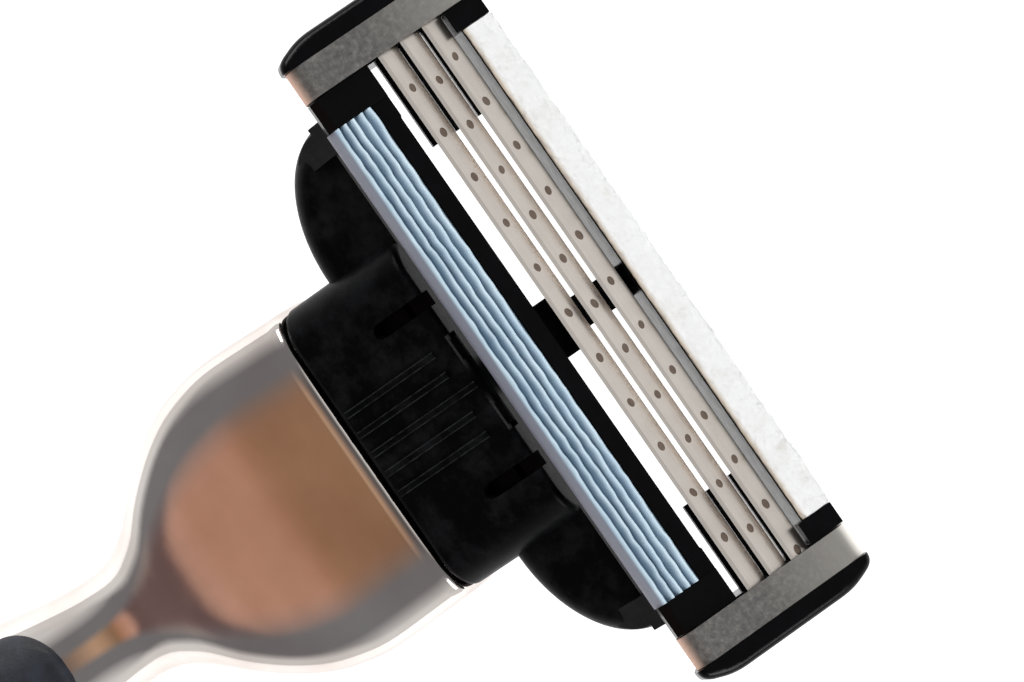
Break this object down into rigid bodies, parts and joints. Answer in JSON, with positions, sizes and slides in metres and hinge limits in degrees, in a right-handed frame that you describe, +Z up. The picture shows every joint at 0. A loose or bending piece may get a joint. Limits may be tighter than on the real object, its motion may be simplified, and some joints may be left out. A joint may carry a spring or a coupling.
{
  "type": "cartridge razor",
  "caption": "Wet-shaving razor with a pivoting multi-blade cartridge that docks on a plated, rubber-gripped handle and is ejected by a slide button.",
  "frame": {"origin": "on the surface that the razor lies on, at the middle of its length and width", "axes": "+Y from the butt to the cartridge, +X along the blades, +Z up, out of the front of the handle"},
  "size_m": [0.0414, 0.1401, 0.0239],
  "materials": {
    "plated_handle": "polished plating",
    "grip_rubber": "matt",
    "black_moulding": "satin",
    "gloss_black": "gloss",
    "button": "matt",
    "spring_wire": "drawn wire",
    "fin_rubber": "satin",
    "lube_strip": "matt, rough where it has swollen",
    "clip_metal": "matt rolled",
    "blade_steel": "ground",
    "support_steel": "rolled"
  },
  "bodies": {
    "handle": {"handle_frame": "plated_handle", "front_grip": "grip_rubber", "back_grip": "grip_rubber", "end_cap": "plated_handle", "dock_carrier": "black_moulding"},
    "ejector": {"ejector_fork": "black_moulding", "eject_button": "button"},
    "plunger": {"plunger": "black_moulding", "plunger_spring": "spring_wire"},
    "connector": {"connector": "black_moulding"},
    "cartridge": {"housing": "gloss_black", "guard_fins": "fin_rubber", "lubricating_strip": "lube_strip", "clip_left": "clip_metal", "clip_right": "clip_metal"},
    "blade_1": {"blade_1": "blade_steel", "blade_support_1": "support_steel"},
    "blade_2": {"blade_2": "blade_steel", "blade_support_2": "support_steel"},
    "blade_3": {"blade_3": "blade_steel", "blade_support_3": "support_steel"}
  },
  "joints": [
    {"name": "cartridge_release", "type": "slide", "parent": "handle", "child": "connector", "axis": [0, 0.9397, 0.342], "range_m": [0, 0.007]},
    {"name": "eject_slide", "type": "slide", "parent": "handle", "child": "ejector", "axis": [0, 0.9397, 0.342], "range_m": [0, 0.007]},
    {"name": "cartridge_pivot", "type": "hinge", "parent": "connector", "child": "cartridge", "pos_m": [0, 0.05991, 0.0204], "axis": [-1, 0, 0], "range_deg": [0, 45], "stiffness_Nm_per_rad": 0.01, "springref_deg": -14.32},
    {"name": "plunger_slide", "type": "slide", "parent": "handle", "child": "plunger", "axis": [0, -0.9397, -0.342], "range_m": [0, 0.0023], "deforming": ["plunger_spring"]},
    {"name": "blade_1_suspension", "type": "slide", "parent": "cartridge", "child": "blade_1", "axis": [0, -0.225, -0.9744], "range_m": [0, 0.0003], "stiffness_N_per_m": 400},
    {"name": "blade_2_suspension", "type": "slide", "parent": "cartridge", "child": "blade_2", "axis": [0, -0.225, -0.9744], "range_m": [0, 0.0003], "stiffness_N_per_m": 400},
    {"name": "blade_3_suspension", "type": "slide", "parent": "cartridge", "child": "blade_3", "axis": [0, -0.225, -0.9744], "range_m": [0, 0.0003], "stiffness_N_per_m": 400}
  ],
  "couplings": [
    {"joint": "eject_slide", "follows": "cartridge_release", "ratio": 1},
    {"joint": "plunger_slide", "follows": "cartridge_pivot", "m_per_rad": 0.00278}
  ]
}
